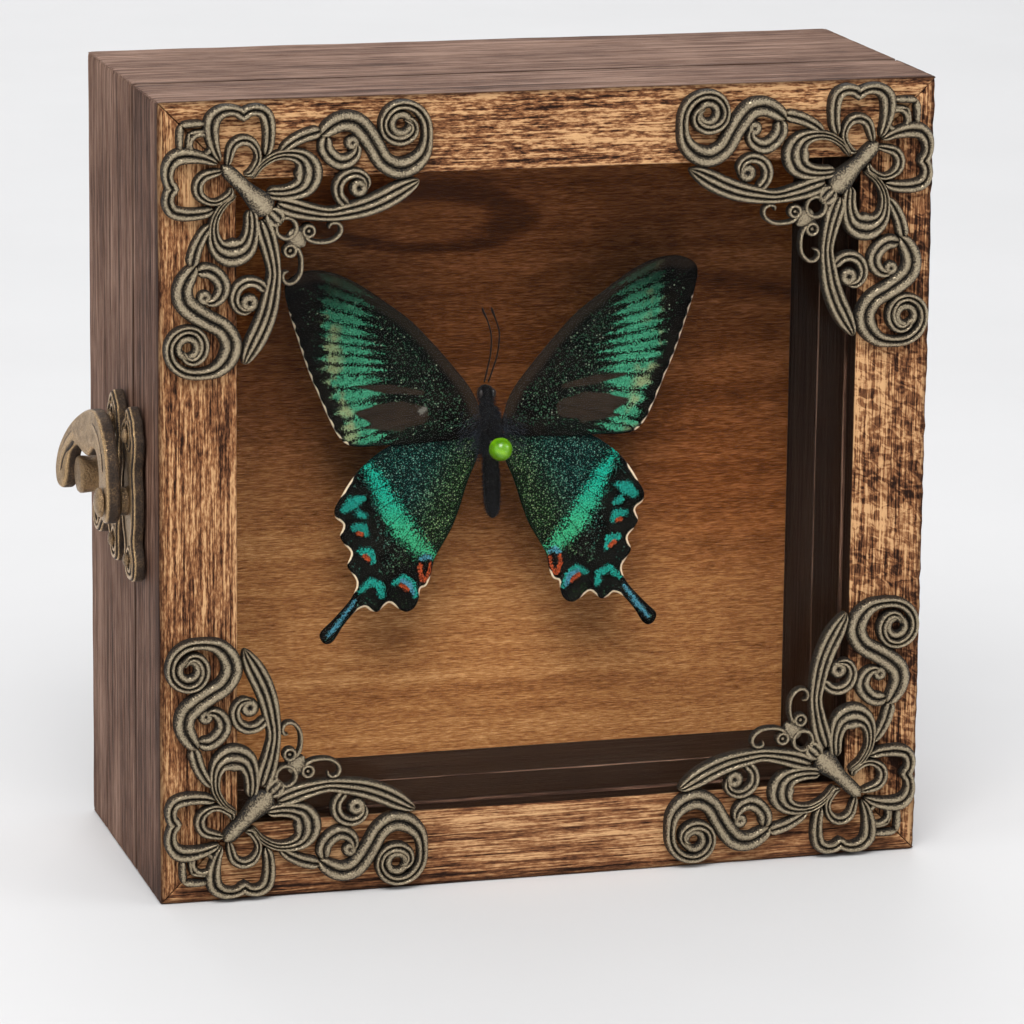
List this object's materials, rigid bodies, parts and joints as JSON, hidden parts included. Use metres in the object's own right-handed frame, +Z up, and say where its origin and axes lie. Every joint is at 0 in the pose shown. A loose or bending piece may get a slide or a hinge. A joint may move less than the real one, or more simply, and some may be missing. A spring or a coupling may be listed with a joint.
{
  "type": "framed butterfly specimen",
  "caption": "Pinned green swallowtail butterfly in a deep glazed wooden box frame with cast corner ornaments, a hinged door and a hook latch.",
  "frame": {"origin": "centre of the case's underside, where the box stands", "axes": "+Z up, -Y out through the glazed door, +X towards the hinges"},
  "size_m": [0.1638, 0.0662, 0.152],
  "materials": {
    "burnt_wood": "charred, wire-brushed and stained softwood",
    "stained_panel": "satin stained wood with fine grain, darker towards the top",
    "rear_ply": "matt stained backing board",
    "clear_glass": "clear flat glass",
    "ornament_bronze": "antiqued casting, dark in its recesses and rubbed pale on its ridges",
    "latch_bronze": "dark antiqued casting with rubbed yellow edges",
    "wing_scales": "black wing scales dusted with iridescent green and blue",
    "dark_fur": "short black hair dusted with pale green scales",
    "antenna_chitin": "dark chitin",
    "pin_steel": "bright drawn steel",
    "lime_bead": "glossy lime green bead"
  },
  "bodies": {
    "case": {"case_left_wall": "burnt_wood", "case_right_wall": "burnt_wood", "case_top_wall": "burnt_wood", "case_bottom_wall": "burnt_wood", "display_panel": "stained_panel", "rear_board": "rear_ply", "latch_catch_plate": "latch_bronze", "latch_catch_nail_lower": "latch_bronze", "latch_catch_nail_upper": "latch_bronze", "lower_hinge_case_leaf": "latch_bronze", "lower_hinge_pin": "latch_bronze", "upper_hinge_case_leaf": "latch_bronze", "upper_hinge_pin": "latch_bronze", "lower_hinge_case_nail_low": "latch_bronze", "lower_hinge_case_nail_high": "latch_bronze", "upper_hinge_case_nail_low": "latch_bronze", "upper_hinge_case_nail_high": "latch_bronze", "butterfly_body": "dark_fur", "left_forewing": "wing_scales", "right_forewing": "wing_scales", "left_hindwing": "wing_scales", "right_hindwing": "wing_scales", "left_antenna": "antenna_chitin", "right_antenna": "antenna_chitin", "specimen_pin": "pin_steel", "pin_head": "lime_bead"},
    "door": {"door_left_stile": "burnt_wood", "door_right_stile": "burnt_wood", "door_top_rail": "burnt_wood", "door_bottom_rail": "burnt_wood", "glass_pane": "clear_glass", "corner_ornament_top_left": "ornament_bronze", "corner_ornament_top_right": "ornament_bronze", "corner_ornament_bottom_left": "ornament_bronze", "corner_ornament_bottom_right": "ornament_bronze", "latch_door_plate": "latch_bronze", "latch_rivet": "latch_bronze", "latch_door_nail_lower": "latch_bronze", "latch_door_nail_upper": "latch_bronze", "lower_hinge_door_leaf": "latch_bronze", "upper_hinge_door_leaf": "latch_bronze", "lower_hinge_door_nail_low": "latch_bronze", "lower_hinge_door_nail_high": "latch_bronze", "upper_hinge_door_nail_low": "latch_bronze", "upper_hinge_door_nail_high": "latch_bronze"},
    "latch_arm": {"latch_arm": "latch_bronze"}
  },
  "joints": [
    {"name": "door_swing", "type": "hinge", "parent": "case", "child": "door", "pos_m": [0.077, -0.00985, 0], "axis": [0, 0, 1], "range_deg": [0, 170]},
    {"name": "latch_turn", "type": "hinge", "parent": "door", "child": "latch_arm", "pos_m": [-0.0778, -0.0145, 0.074], "axis": [1, 0, 0], "range_deg": [0, 95]}
  ]
}
